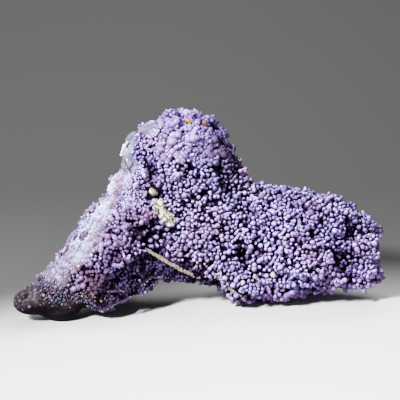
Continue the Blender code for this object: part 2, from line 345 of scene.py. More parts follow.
# Beads: their sizes in shares of the one before, how far in and out they stray, how straight their
# bunch runs on and how much it wanders. Buds: their sizes in shares of their grape, how strongly they
# point outward, and how far out they sit
BEAD_SIZES = (0.7, 1.3)
BEAD_RISES = 0.45
BEADS_STRAIGHT = 1.4
BEADS_WANDER = 0.5
BUD_SIZES = (0.42, 0.66)
BUD_OUTWARD = 0.9
BUD_REACH = 0.86

# Which way the bunches run on: down and left on the peak's left, elsewhere a little down
LEAN = Vector((-0.7, -0.1, -0.7)) * 1.6
LEAN_LEFT_OF = 30 * MM
LEAN_ABOVE = 90 * MM
HANG = Vector((0, 0, -0.2))

# How far out the deeper grapes stand, in millimetres, how near to others, and how far in their roots
# lie, in their radii
DEEPER = (-4.2, -2.4)
DEEPER_APART = 0.92
DEEPER_ROOT = 1.5

# The side of the worn foot that is painted as lit, its bare skin turned away from it being painted
# darker as shade, and the colours and shares of its dirt
TOE_PAINTED_LIT_SIDE = np.array((-0.55, -0.25, 0.8))
TAN_DIRT = (0.13, 0.105, 0.09)
TAN_SHARE = 0.07
DULL_DIRT = (0.078, 0.058, 0.072)
DULL_SHARE = 0.28

# The slope's crust: the colour of its dirt and that of the painted shade in small spots between its
# grains, its lumps, the sizes of its grains, how far these sink in, how deep they are rooted and how
# near they stand
CRUST_DIRT = np.array((0.088, 0.060, 0.088))
CRUST_PAINTED_SHADE = np.array((0.075, 0.055, 0.10))
SLOPE_LUMPS = ((9, SEED + 8, 0.8), (3.5, SEED + 9, 0.4))
CRUST_SIZES = (0.5, 1.2)
CRUST_SUNK = (0.45, 1.0)
CRUST_ROOT = 2.6 * MM
CRUST_APART = 0.5

# Where the grapes are cut into pieces: the Y of front and back, the height of the peak, and X
FRONT_OF = 4
PEAK_ABOVE = 74
FOOT_TO, LEFT_TO, MIDDLE_TO, LOBE_LEFT_TO, PEAK_BACK_TO = -74, -34, 18, 64, 12

# No point lies lower than this over the shelf
LOWEST = 0.02 * MM

# Owners in a crowd: a growth of no bunch, and a newcomer that may touch none
NO_BUNCH = -2
ANY_BUNCH = -1

# The camera: what it aims at and in which row of the picture, its tilt and its distance in metres, and
# what a picture element covers there
CAMERA_AIM = Vector((-2.0, -0.8, 66)) * MM
AIM_ROW = 214
CAMERA_TILT = math.radians(12)
CAMERA_DISTANCE = 0.95
PIXEL_SIZE = 0.7 * MM
PICTURE_WIDTH = 400
SENSOR_WIDTH = 36

# The studio, in metres: the floor's side, how far back the wall stands, its height and its bend
FLOOR_SIDE = 6.0
FLOOR_BACK = 1.6
WALL_HEIGHT = 3.0
SWEEP_BEND = 1.2
FILL_COLOUR = (0.9, 0.93, 1.0, 1)


def length_property(name, description, default):
    return FloatProperty(
        name=name, description=description, default=default * MM, min=0.3 * MM, max=8 * MM,
        precision=5, unit="LENGTH",
    )


def power_property(name, description, default):
    return FloatProperty(name=name, description=description, default=default, min=0, max=1000, unit="POWER")


def colour_property(name, description, default):
    return FloatVectorProperty(
        name=name, description=description, default=default, size=3, min=0, max=1, subtype="COLOR",
    )


class StoneSizes(bpy.types.PropertyGroup):
    """Sizes of the growths, given in millimetres."""

    grape_radius: length_property("Grape radius", "Radius of a usual grape on the front", 1.75)
    bed_depth: length_property("Bed depth", "How deep under the outer skin the dark bed lies", 4.2)
    skin_voxel: length_property("Skin grid", "Grid that the skin is smoothed on", 1.5)
    bed_voxel: length_property("Bed grid", "Grid that the bed is meshed on", 1.7)
    crust_radius: length_property("Crust radius", "Radius of a usual grain of the slope's crust", 0.95)
    tries: IntProperty(
        name="Tries", description="How many places are tried for a grape",
        default=160000, min=1000, max=2000000,
    )


class StoneColours(bpy.types.PropertyGroup):
    """Colours of the stone, as linear values."""

    lavender: colour_property("Lavender", "Grapes of the front", (0.120, 0.081, 0.154))
    violet: colour_property("Violet", "Grapes of the lobe and the back", (0.109, 0.070, 0.157))
    bluish: colour_property("Bluish", "Grapes of the peak's top", (0.114, 0.082, 0.176))
    mauve: colour_property("Mauve", "Grapes of the shoulder and the rim", (0.145, 0.100, 0.158))
    # The ridge's mauve, painted darker as shade
    ridge_painted_shade: colour_property("Dusk", "Grapes of the ridge", (0.098, 0.062, 0.118))
    # The underside's violet, painted dark as shade
    underside_painted_shade: colour_property("Shade", "Drops of the underside", (0.029, 0.019, 0.044))
    dusty: colour_property("Dusty", "Grapes of the worn foot", (0.055, 0.040, 0.050))
    pale: colour_property("Pale", "Grains of the left slope", (0.42, 0.44, 0.68))
    # The tips' white: frost, and a painted highlight on the side toward the light
    frost: colour_property("Frost", "Tips of the grapes", (0.485, 0.465, 0.95))
    # Near black: a dark matrix, and painted shade of the gaps and creases
    gap: colour_property("Gap", "Bed between the grapes", (0.0065, 0.0026, 0.0125))
    foot: colour_property("Foot", "Bare skin of the worn foot", (0.019, 0.013, 0.018))
    stain: colour_property("Stain", "Greenish stain on the foot", (0.030, 0.036, 0.033))


class StudioSettings(bpy.types.PropertyGroup):
    """Light and floor of the studio."""

    key_power: power_property("Key", "Power of the soft light from the upper left", 52.0)
    top_power: power_property("Top", "Power of the soft light overhead", 10.0)
    front_power: power_property("Front", "Power of the faint light low in front", 2.5)
    fill: FloatProperty(
        name="Fill", description="Strength of the even light from all around",
        default=0.072, min=0, max=5,
    )
    floor: colour_property("Floor", "The floor near the stone", (0.90, 0.90, 0.91))
    wall: colour_property("Wall", "The backdrop behind the stone", (0.103, 0.103, 0.103))


def sizes():
    return bpy.context.scene.chalcedony_sizes


def colours():
    return bpy.context.scene.chalcedony_colours


def studio():
    return bpy.context.scene.chalcedony_studio


def added(name, data):
    """A new object in the scene around a mesh, a light or a camera."""
    obj = bpy.data.objects.new(name, data)
    bpy.context.scene.collection.objects.link(obj)
    return obj


def deselect():
    bpy.ops.object.select_all(action="DESELECT")
    bpy.context.view_layer.objects.active = None


def made(primitive, **settings):
    """A new object from one of the primitives, active and alone in the selection."""
    deselect()
    primitive(**settings)
    return bpy.context.object


def make_active(obj):
    deselect()
    obj.select_set(True)
    bpy.context.view_layer.objects.active = obj


@contextmanager
def edit_mode(select=None):
    """Edit mode on the active object, after selecting all of its mesh or none if that is asked."""
    bpy.ops.object.mode_set(mode="EDIT")
    if select:
        bpy.ops.mesh.select_all(action=select)
    yield
    bpy.ops.object.mode_set(mode="OBJECT")


def apply_modifier(obj, kind, **settings):
    """Adds a modifier to the active object and applies it."""
    modifier = obj.modifiers.new(kind.lower(), kind)
    for setting, value in settings.items():
        setattr(modifier, setting, value)
    bpy.ops.object.modifier_apply(modifier=modifier.name)


def even_out(obj, voxel, rounds):
    """Meshes the active object anew on a grid and smooths it."""
    apply_modifier(obj, "REMESH", mode="VOXEL", voxel_size=voxel)
    apply_modifier(obj, "SMOOTH", iterations=rounds)


def stone_skin(name, voxel, rounds):
    """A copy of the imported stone, merged from its loose triangles and evened out, active."""
    copy = added(name, STONE.data.copy())
    copy.data.materials.clear()
    make_active(copy)
    with edit_mode("SELECT"):
        bpy.ops.mesh.remove_doubles(threshold=1e-6)
    even_out(copy, voxel, rounds)
    return copy


def points_of(mesh):
    points = np.empty((len(mesh.vertices), 3))
    mesh.vertices.foreach_get("co", points.ravel())
    return points


def surface_of(mesh):
    """A mesh's points, and its smooth normals there."""
    normals = np.empty((len(mesh.vertices), 3))
    mesh.vertex_normals.foreach_get("vector", normals.ravel())
    return points_of(mesh), normals


def unit(vectors):
    """Vectors, one to a row, at length 1."""
    return vectors / np.linalg.norm(vectors, axis=1)[:, None]


def move_points(mesh, points):
    mesh.vertices.foreach_set("co", points.ravel())
    mesh.update()


def taken(obj):
    """The points and triangles of an object, which is gone afterwards."""
    points = points_of(obj.data)
    faces = np.array([polygon.vertices[:] for polygon in obj.data.polygons])
    bpy.data.objects.remove(obj)
    return points, faces


def write_attribute(mesh, name, values):
    """Keeps a number, or a colour of three, on each point of a mesh."""
    if values.ndim == 1:
        mesh.attributes.new(name, "FLOAT", "POINT").data.foreach_set("value", values)
    else:
        colour = np.c_[values, np.ones(len(values))].ravel()
        mesh.attributes.new(name, "FLOAT_COLOR", "POINT").data.foreach_set("color", colour)


def smooth_step(low, high, value):
    share = np.clip((value - low) / (high - low), 0, 1)
    return share * share * (3 - 2 * share)


def waves(points, spacing, seed):
    """Smooth hills and dales from -1 to 1 over points, about spacing apart."""
    chance = np.random.default_rng(seed)
    total = np.zeros(len(points))
    for _ in range(12):
        direction = chance.normal(size=3)
        direction *= 2 * math.pi / (spacing * 2) / np.linalg.norm(direction)
        total += np.sin(points @ direction + chance.uniform(0, 2 * math.pi))
    return np.clip(total / 4, -1, 1)


def hills(points, table):
    """The sum of a table's waves over points."""
    return sum(waves(points, spacing * MM, seed) * height for spacing, seed, height in table)


def fade(value, edge):
    """How far a value is past one of the edges, from 0 to 1."""
    return smooth_step(*EDGES[edge], value)


def growth_shares(points, normals):
    """How strongly each growth holds a point of the skin, from 0 to 1, in the order they overlie."""
    x, y, z = (points / MM).T
    back = normals[:, 1]
    left_of_ridge = np.interp(z, *RIDGE) - x
    left_of_slope = np.interp(z, *SLOPE) - x
    faces_left = fade(normals @ np.array(SLOPE_OUT), "slope facing")
    faces_front = fade(back, "front facing")
    behind = y - SLOPE_BACK_Y + (SLOPE_BACK_Z - z) * SLOPE_BACK_LEAN
    bare = fade(x, "bare x") * fade(z - np.interp(x, *BARE), "bare")
    return {
        "front": np.ones(len(points)),
        "lobe": fade(x, "lobe x"),
        "back": fade(back, "back facing"),
        "top": fade(z, "top z") * fade(x, "top x"),
        "sole": fade(z, "sole z") * fade(x, "sole x"),
        "pocket": fade(np.linalg.norm(points / MM - np.array(POCKET), axis=1), "pocket"),
        "under": fade(np.interp(x, *UNDER) - z, "under") * fade(x, "under x"),
        "ridge": fade(left_of_ridge, "ridge") * fade(left_of_slope, "ridge end") * faces_front,
        "shoulder": fade(left_of_ridge, "shoulder") * fade(z, "shoulder z") * faces_front,
        "slope": fade(left_of_slope, "slope") * faces_left * fade(behind, "slope back"),
        "rim": fade(behind, "rim back") * fade(x, "rim x") * fade(back, "rim facing"),
        "crest": fade(z, "crest z") * fade(x, "crest x") * (y < CREST_BACK),
        "foot": fade(z - np.interp(x, *WORN), "worn") * fade(x, "worn x"),
        "bare": bare,
        "toe": bare * fade(z - np.interp(x, *TOE), "toe") * TOE_SHARE,
    }


def growth_names(points, normals, chance):
    """One growth for each point, drawn by the shares so that growths mingle where they meet."""
    names = np.full(len(points), "front", dtype="<U8")
    draws = chance.random(len(points))
    for name, share in growth_shares(points, normals).items():
        names[share > draws] = name
    return names


def spread_over(mesh, count, chance):
    """Places spread evenly over a mesh, and its smooth normals there."""
    mesh.calc_loop_triangles()
    corners = np.empty(len(mesh.loop_triangles) * 3, dtype=np.int32)
    mesh.loop_triangles.foreach_get("vertices", corners)
    corners = corners.reshape(-1, 3)
    areas = np.empty(len(corners))
    mesh.loop_triangles.foreach_get("area", areas)
    picks = corners[chance.choice(len(corners), size=count, p=areas / areas.sum())]
    a, b = chance.random((2, count))
    over = a + b > 1
    a[over], b[over] = 1 - a[over], 1 - b[over]
    weights = np.stack((1 - a - b, a, b), axis=1)[:, :, None]
    places, normals = ((values[picks] * weights).sum(axis=1) for values in surface_of(mesh))
    return places, unit(normals)


def patches(points, table):
    """How strongly the patches of a table hold each point."""
    strength = np.zeros(len(points))
    for middle, reach, amount in table:
        away = np.linalg.norm(points / MM - np.array(middle), axis=1)
        strength = np.maximum(strength, amount * smooth_step(reach, reach * 0.4, away))
    return strength


def from_line(points, line):
    """How far each point is from a line of straight parts, in the points' own unit."""
    nearest = np.full(len(points), np.inf)
    for start, end in zip(line[:-1], line[1:]):
        start, end = np.array(start, dtype=float), np.array(end, dtype=float)
        along = end - start
        share = np.clip((points - start) @ along / max(along @ along, 1e-12), 0, 1)
        nearest = np.minimum(nearest, np.linalg.norm(points - start - share[:, None] * along, axis=1))
    return nearest


def along_line(line, places, run):
    """The points of a line at each run, where its corners lie at the places."""
    return np.stack([np.interp(run, places, line[:, axis]) for axis in range(3)], axis=1)


def hollow_depth(points):
    """How much deeper the crust stands at each point for hollows, creases and rises, in millimetres."""
    depth = patches(points, HOLLOWS)
    for line, reach in CREASES:
        near = smooth_step(reach * 2, reach * 0.6, from_line(points / MM, line))
        depth = np.maximum(depth, CREASE_DEPTH * near)
    return depth - patches(points, RISES)


def hollow_of(place):
    """How much deeper the crust stands at one place, for the hollows alone, in millimetres."""
    depth = 0.0
    for middle, reach, deeper in HOLLOWS:
        away = (place / MM - Vector(middle)).length
        if away < reach:
            depth = max(depth, deeper * min((reach - away) / (reach * 0.5), 1.0))
    return depth


class Crowd:
    """Round growths that keep their distance from each other."""

    def __init__(self, cell):
        self.cell = cell
        self.cells = {}

    def key(self, centre):
        return tuple(math.floor(value / self.cell) for value in centre)

    def has_room(self, centre, radius, near, bunch=ANY_BUNCH):
        """Whether a ball keeps its share of the distance to all but its own bunch."""
        x, y, z = centre
        around = ((value - 1, value, value + 1) for value in self.key(centre))
        for cell in itertools.product(*around):
            for (other_x, other_y, other_z), reach, owner in self.cells.get(cell, ()):
                least = near * (radius + reach)
                gap = (x - other_x) ** 2 + (y - other_y) ** 2 + (z - other_z) ** 2
                if owner != bunch and gap < least * least:
                    return False
        return True

    def add(self, centre, radius, bunch=NO_BUNCH):
        self.cells.setdefault(self.key(centre), []).append((centre, radius, bunch))


def model_grape(segments, rings):
    """Models one head as a unit ball, and returns its points and triangles."""
    head = made(bpy.ops.mesh.primitive_uv_sphere_add, segments=segments, ring_count=rings, radius=1)
    with edit_mode("SELECT"):
        bpy.ops.mesh.quads_convert_to_tris()
    return taken(head)


def swept(name, line, out, wide, thick, sides=10, seed=0):
    """A closed strip along a line, wide half across and thick half out, rough and tapered.

    Its attribute edge goes from 0 inside the stone to 1 outside.
    """
    line = np.array(line) * MM
    places = np.concatenate(((0,), np.cumsum(np.linalg.norm(np.diff(line, axis=0), axis=1))))
    count = max(int(places[-1] / STRIP_STEP), STRIP_LEAST)
    run = np.linspace(0, places[-1], count)
    path = along_line(line, places, run)
    for _ in range(STRIP_ROUNDS):
        path[1:-1] = (path[:-2] + path[1:-1] + path[2:]) / 3
    tangent = unit(np.gradient(path, axis=0))
    out = unit(np.array(out) - tangent * (tangent @ np.array(out))[:, None])
    across = np.cross(tangent, out)
    share = run / run[-1]
    taper = np.clip(1 - np.abs(share * 2 - 1) ** 8, 0, 1) ** 0.5 + 0.02
    angle = np.arange(sides) / sides * 2 * math.pi
    ring = (
        path[:, None, :]
        + across[:, None, :] * (np.cos(angle)[None, :, None] * (wide * MM * taper)[:, None, None])
        + out[:, None, :] * (np.sin(angle)[None, :, None] * (thick * MM * taper)[:, None, None])
    )
    flat = ring.reshape(-1, 3)
    away = (ring - path[:, None, :]).reshape(-1, 3)
    fine, coarse = STRIP_ROUGH
    uneven = 1 + fine * waves(flat, 1.0 * MM, seed) + coarse * waves(flat, 3.0 * MM, seed + 1)
    index = np.arange(count * sides).reshape(count, sides)
    turned_on = np.roll(index, -1, axis=1)
    quads = np.stack((index[:-1], turned_on[:-1], turned_on[1:], index[1:]), axis=2)
    faces = [*quads.reshape(-1, 4).tolist(), index[0][::-1].tolist(), index[-1].tolist()]
    mesh = bpy.data.meshes.new(name)
    mesh.from_pydata(flat - away + away * uneven[:, None], [], faces)
    write_attribute(mesh, "edge", np.tile((np.sin(angle) + 1) / 2, count))
    piece = added(name, mesh)
    make_active(piece)
    with edit_mode("SELECT"):
        bpy.ops.mesh.normals_make_consistent(inside=False)
    mesh.shade_smooth()
    return piece


def turned(along, out):
    """The rotation that takes X to along and Z as near to out as it can."""
    x_axis = Vector(along).normalized()
    y_axis = Vector(out).cross(x_axis).normalized()
    return Matrix((x_axis, y_axis, x_axis.cross(y_axis))).transposed().to_4x4()


def chipped(obj, chance, cuts, depth):
    """Flattens an object's rounds with a number of plane cuts, as broken glass has."""
    points = points_of(obj.data)
    for _ in range(cuts):
        direction = chance.normal(size=3)
        direction /= np.linalg.norm(direction)
        height = points @ direction
        limit = height.max() * (1 - chance.uniform(0.3, 1.0) * depth)
        points -= direction * np.maximum(height - limit, 0)[:, None]
    move_points(obj.data, points)


def joined_grapes(name, grapes, shape):
    """One mesh of many grapes, each a head whose lowest points are drawn down to its root.

    Its attributes are rise, how far out a point lies in millimetres from the skin, skin, its
    colour, and one for how white it is, from frost and from a painted highlight toward the light.
    """
    ball, faces = shape
    count = len(grapes["radius"])
    radius = grapes["radius"][:, None]
    axis = grapes["head"] - grapes["root"]
    reach = np.linalg.norm(axis, axis=1)[:, None]
    axis /= reach
    side = unit(np.cross(axis, np.array((0.36, 0.48, 0.8))))
    turn = grapes["turn"][:, None]
    side = side * np.cos(turn) + np.cross(axis, side) * np.sin(turn)
    across = np.cross(axis, side)
    stalk = ball[:, 2] < STALK_BELOW
    wide = np.where(stalk, 0, 1) * radius
    wide += np.where(stalk, 1, 0) * (grapes["radius"] * grapes["stalk"])[:, None] * STALK_WIDER
    high = ball[:, 2] * (grapes["radius"] * grapes["stretch"])[:, None]
    high[:, stalk] = -reach
    away = (
        side[:, None, :] * (ball[:, 0] * wide)[:, :, None]
        + across[:, None, :] * (ball[:, 1] * wide)[:, :, None]
        + axis[:, None, :] * high[:, :, None]
    )
    points = (grapes["head"][:, None, :] + away).reshape(-1, 3)
    uneven = hills(points, GRAPE_DENTS)
    points += away.reshape(-1, 3) * (uneven * np.tile(~stalk, count))[:, None]
    points[:, 2] = np.maximum(points[:, 2], LOWEST)
    starts = np.arange(count) * len(ball)
    mesh = bpy.data.meshes.new(name)
    mesh.from_pydata(points, [], (faces[None] + starts[:, None, None]).reshape(-1, 3))
    mesh.shade_smooth()
    rise = grapes["rise"][:, None] + (away * grapes["out"][:, None, :]).sum(axis=2) / MM
    # White on each grape's side toward the light: frost, and a painted highlight
    frost = grapes["frost"][:, None] * smooth_step(*FROST_AND_HIGHLIGHT_EDGE, (away @ FROST_AND_HIGHLIGHT_SIDE) / radius)
    write_looks(mesh, rise.ravel(), frost.ravel(), np.repeat(grapes["skin"], len(ball), axis=0))
    return added(name, mesh)


def write_looks(mesh, rise, frost, skin):
    """Keeps how far out a mesh's points lie, how white they are from frost and a painted highlight, and
    their colour, with the spots.
    """
    points = points_of(mesh) / MM
    for middle, reach, colour in SPOTS:
        share = smooth_step(reach, reach * 0.6, np.linalg.norm(points - np.array(middle), axis=1))
        skin = skin + (np.array(colour) - skin) * share[:, None]
        frost = frost * (1 - share)
    for name, values in (("rise", rise), ("frost", frost), ("skin", skin)):
        write_attribute(mesh, name, values)


def finish_piece(piece, material):
    """Gives a piece its finish, and fixes it to the stone, which it stands for."""
    piece.data.materials.clear()
    piece.data.materials.append(material)
    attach(piece, "root")
    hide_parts(NODE)


class Nodes:
    """A material's nodes, added and linked in short words."""

    def __init__(self, name):
        self.material = bpy.data.materials.new(name)
        self.material.use_nodes = True
        self.tree = self.material.node_tree
        self.shader = self.tree.nodes["Principled BSDF"]

    def add(self, kind, **settings):
        node = self.tree.nodes.new(kind)
        for name, value in settings.items():
            setattr(node, name, value)
        return node

    def feed(self, socket, value):
        """Links a socket to another, or sets it to a number or a colour."""
        if isinstance(value, bpy.types.NodeSocket):
            self.tree.links.new(value, socket)
        elif socket.type == "RGBA":
            socket.default_value = (*value, 1)
        else:
            socket.default_value = value

    def attribute(self, name, output="Fac"):
        return self.add("ShaderNodeAttribute", attribute_name=name).outputs[output]

    def place(self):
        """The object's own X, Y and Z."""
        parts = self.add("ShaderNodeSeparateXYZ")
        self.feed(parts.inputs["Vector"], self.add("ShaderNodeTexCoord").outputs["Object"])
        return parts.outputs

    def math(self, operation, *values):
        node = self.add("ShaderNodeMath", operation=operation)
        for socket, value in zip(node.inputs, values):
            self.feed(socket, value)
        return node.outputs["Value"]

    def noise(self, scale, detail=2.0, distortion=0.0):
        """Noise on the object's own coordinates, scale hills to a metre."""
        node = self.add("ShaderNodeTexNoise")
        self.feed(node.inputs["Vector"], self.add("ShaderNodeTexCoord").outputs["Object"])
        self.feed(node.inputs["Scale"], scale)
        self.feed(node.inputs["Detail"], detail)
        self.feed(node.inputs["Distortion"], distortion)
        return node.outputs["Fac"]

    def spread(self, value, low, high, to_low=0.0, to_high=1.0):
        """Stretches a value from one range to another, clamped."""
        node = self.add("ShaderNodeMapRange", interpolation_type="SMOOTHSTEP")
        ends = {"Value": value, "From Min": low, "From Max": high, "To Min": to_low, "To Max": to_high}
        for name, end in ends.items():
            self.feed(node.inputs[name], end)
        return node.outputs["Result"]

    def mix(self, share, first, second, blend="MIX"):
        """Mixes two colours, each a socket or three numbers, by a socket or a number."""
        node = self.add("ShaderNodeMix", data_type="RGBA", blend_type=blend)
        for socket, value in ((0, share), (6, first), (7, second)):
            self.feed(node.inputs[socket], value)
        return node.outputs[2]

    def clouds(self, scale, detail, low, high, first, second, most=1.0):
        """Clouds of a second colour in a first, scale of them to a metre."""
        return self.mix(self.spread(self.noise(scale, detail), low, high, 0.0, most), first, second)

    def finish(self, colour, grain, **sockets):
        """Sets the colour, a fine grain and other sockets, named with _ for a space.

        The grain is its noise's scale and detail, its height in millimetres and its strength.
        """
        if grain:
            scale, detail, height, strength = grain
            node = self.add("ShaderNodeBump")
            self.feed(node.inputs["Strength"], strength)
            self.feed(node.inputs["Distance"], height * MM)
            self.feed(node.inputs["Height"], self.noise(scale, detail))
            self.feed(self.shader.inputs["Normal"], node.outputs["Normal"])
        self.feed(self.shader.inputs["Base Color"], colour)
        for name, value in sockets.items():
            self.feed(self.shader.inputs[name.replace("_", " ")], value)
        return self.material


def grape_material():
    """Satin chalcedony: dark in its depth from a dark matrix and painted shade, coloured further out,
    and frosted, with a painted highlight, on the upper sides.
    """
    nodes = Nodes("grape_chalcedony")
    brighter = nodes.spread(nodes.noise(420), 0.45, 0.65)
    mottled = nodes.mix(brighter, nodes.attribute("skin", "Color"), (1.4, 1.4, 1.4), blend="MULTIPLY")
    # Deeper points darken to the gap colour: partly a dark matrix, partly painted shade of the gaps
    body = nodes.mix(nodes.spread(nodes.attribute("rise"), -4.4, -1.1), colours().gap, mottled)
    return nodes.finish(
        nodes.mix(nodes.attribute("frost"), body, colours().frost), (2600, 3, 0.12, 0.5),
        Roughness=nodes.spread(nodes.noise(900), 0.3, 0.7, 0.42, 0.6), Specular_IOR_Level=0.12,
        Subsurface_Weight=0.15, Subsurface_Scale=0.8 * MM, Subsurface_Radius=(1.0, 0.7, 1.3),
    )


def crust_material():
    """The slope's fine crust, near white, with darker mauve low between its grains as painted shade."""
    nodes = Nodes("crust_chalcedony")
    brighter = nodes.spread(nodes.noise(160), 0.4, 0.65)
    body = nodes.mix(brighter, nodes.attribute("skin", "Color"), (1.7, 1.8, 1.8), blend="MULTIPLY")
    # Low between the grains the crust is darker mauve, as painted shade
    low = nodes.mix(0.6, body, [value * 0.6 for value in colours().mauve])
    return nodes.finish(
        nodes.mix(nodes.spread(nodes.attribute("rise"), -1.6, -0.3), low, body), (3000, 3, 0.1, 0.5),
        Roughness=0.55, Specular_IOR_Level=0.3, Subsurface_Weight=0.1, Subsurface_Scale=0.8 * MM,
    )


def bed_material():
    """The bed under the growths, and the bare skin of the worn foot: rosy higher up, darker towards the
    bottom, soiled in clouds, and painted darker as shade where it is turned from the light.
    """
    nodes = Nodes("bed_chalcedony")
    worn = nodes.clouds(95, 5, 0.5, 0.62, colours().foot, colours().stain)
    high = nodes.spread(nodes.place()["Z"], 10 * MM, 25 * MM, 0.0, 0.8)
    rosy = nodes.mix(high, worn, (0.10, 0.08, 0.086))
    soiled = nodes.clouds(420, 5, 0.42, 0.56, rosy, (0.010, 0.009, 0.011), most=0.75)
    # The bare skin turned from the light is painted darker, as painted shade
    dark = nodes.mix(1.0, soiled, (0.4, 0.38, 0.42), blend="MULTIPLY")
    bare = nodes.mix(nodes.attribute("lit"), dark, soiled)
    return nodes.finish(
        nodes.mix(nodes.attribute("bare"), nodes.attribute("skin", "Color"), bare), (520, 8, 1.4, 1.0),
        Roughness=0.6, Specular_IOR_Level=0.04,
    )


def seam_material():
    """Tan fibrous crust, browner in cloudy patches and paler on its outer side, which faces up and to
    the front.
    """
    nodes = Nodes("seam_tan")
    body = nodes.clouds(700, 5, 0.42, 0.6, (0.03, 0.02, 0.017), (0.16, 0.125, 0.108))
    outer = nodes.spread(nodes.attribute("edge"), 0.5, 1.0, 0.0, 0.5)
    return nodes.finish(
        nodes.mix(outer, body, (0.25, 0.21, 0.185)), (1800, 6, 0.3, 0.8),
        Roughness=0.7, Specular_IOR_Level=0.25,
    )


def ledge_material():
    """Dark violet crust, of the gap and underside colours with their painted shade, with a thin pale edge.
    """
    nodes = Nodes("ledge_violet")
    body = nodes.clouds(350, 4, 0.35, 0.65, colours().gap, colours().underside_painted_shade)
    pale = nodes.clouds(240, 3, 0.5, 0.66, colours().underside_painted_shade, (0.12, 0.10, 0.17))
    return nodes.finish(
        nodes.mix(nodes.spread(nodes.attribute("edge"), 0.93, 1.0), body, pale), (1400, 5, 0.3, 0.8),
        Roughness=0.45, Specular_IOR_Level=0.35,
    )


def lip_material():
    """Pale bluish-grey glassy chalcedony with milky clouds."""
    nodes = Nodes("lip_glassy")
    milk = nodes.spread(nodes.noise(180, detail=5, distortion=0.6), 0.38, 0.66)
    return nodes.finish(
        nodes.mix(milk, (0.11, 0.115, 0.17), (0.23, 0.235, 0.32)), (420, 5, 0.35, 0.5),
        Roughness=nodes.spread(nodes.noise(500), 0.35, 0.65, 0.12, 0.34), Specular_IOR_Level=0.6,
        Subsurface_Weight=0.25, Subsurface_Scale=1.6 * MM,
    )


def cream_material(name, roughness, dark, pale, speck):
    """Crystal from dark to pale cream, with brown specks as strong as speck."""
    nodes = Nodes(name)
    body = nodes.clouds(300, 3, 0.35, 0.65, dark, pale)
    return nodes.finish(
        nodes.clouds(480, 3, 0.53, 0.6, body, (0.05, 0.03, 0.015), most=speck), (1500, 4, 0.15, 0.5),
        Roughness=roughness, Subsurface_Weight=0.1, Subsurface_Scale=0.8 * MM,
    )


def knob_material():
    """Greyish purple in two tones."""
    nodes = Nodes("knob_grey")
    return nodes.finish(
        nodes.clouds(420, 4, 0.38, 0.62, (0.05, 0.032, 0.065), (0.15, 0.115, 0.18)),
        (1600, 4, 0.25, 0.7), Roughness=0.55, Specular_IOR_Level=0.3,
    )


def floor_material():
    """The sweep: pale near the stone, grey behind a slanting edge; painted shade makes it a little darker
    at the left and brings the grey nearer there.
    """
    nodes = Nodes("studio_sweep")
    place = nodes.place()
    # Painted shade: the floor darker at the left, and its grey edge nearer there
    left_only = nodes.math("MINIMUM", place["X"], 0.0)
    back = nodes.spread(nodes.math("MULTIPLY_ADD", left_only, -0.8, place["Y"]), -0.03, 0.16)
    painted_left_shade = nodes.spread(place["X"], -0.2, 0.12, 0.74, 1.0)
    even = nodes.mix(painted_left_shade, (0, 0, 0), studio().floor)
    return nodes.finish(
        nodes.mix(back, even, studio().wall), None, Roughness=0.9, Specular_IOR_Level=0.1,
    )


class CHALCEDONY_OT_bed(bpy.types.Operator):
    """Makes the bed that the growths stand on, and the bare skin of the worn foot"""

    bl_idname = "chalcedony.bed"
    bl_label = "Bed"

    def execute(self, context):
        bed = stone_skin("bed", sizes().skin_voxel, rounds=4)
        points, normals = surface_of(bed.data)
        shares = growth_shares(points, normals)
        depth = np.full(len(points), sizes().bed_depth)
        for name, share in BED_SHARES.items():
            depth += (sizes().bed_depth * share - depth) * shares[name]
        depth += hollow_depth(points) * MM
        lumps = waves(points, 5 * MM, SEED) * 0.5 * MM * (1 - shares["bare"]) * (1 - shares["slope"])
        lumps -= hills(points, SLOPE_LUMPS) * MM * shares["slope"]
        move_points(bed.data, points - normals * (depth + lumps)[:, None])
        even_out(bed, sizes().bed_voxel, rounds=2)
        points, normals = surface_of(bed.data)
        points[:, 2] = np.maximum(points[:, 2], LOWEST)
        move_points(bed.data, points)
        self.paint(bed.data, growth_shares(points, normals), normals @ TOE_PAINTED_LIT_SIDE)
        bed.data.shade_smooth()
        finish_piece(bed, bed_material())
        return {"FINISHED"}

    def paint(self, mesh, shares, lit):
        """Writes the bed's colour, near black partly as painted shade, where it is bare, and where that is
        painted as lit, on its points.
        """
        skin = np.tile(np.array(colours().gap), (len(mesh.vertices), 1))
        for name, (colour, strength) in BED_TINTS.items():
            tint = np.array(getattr(colours(), colour)) * strength
            skin += (tint - skin) * shares[name][:, None]
        write_attribute(mesh, "skin", skin)
        write_attribute(mesh, "bare", shares["bare"])
        write_attribute(mesh, "lit", fade(lit, "toe lit"))


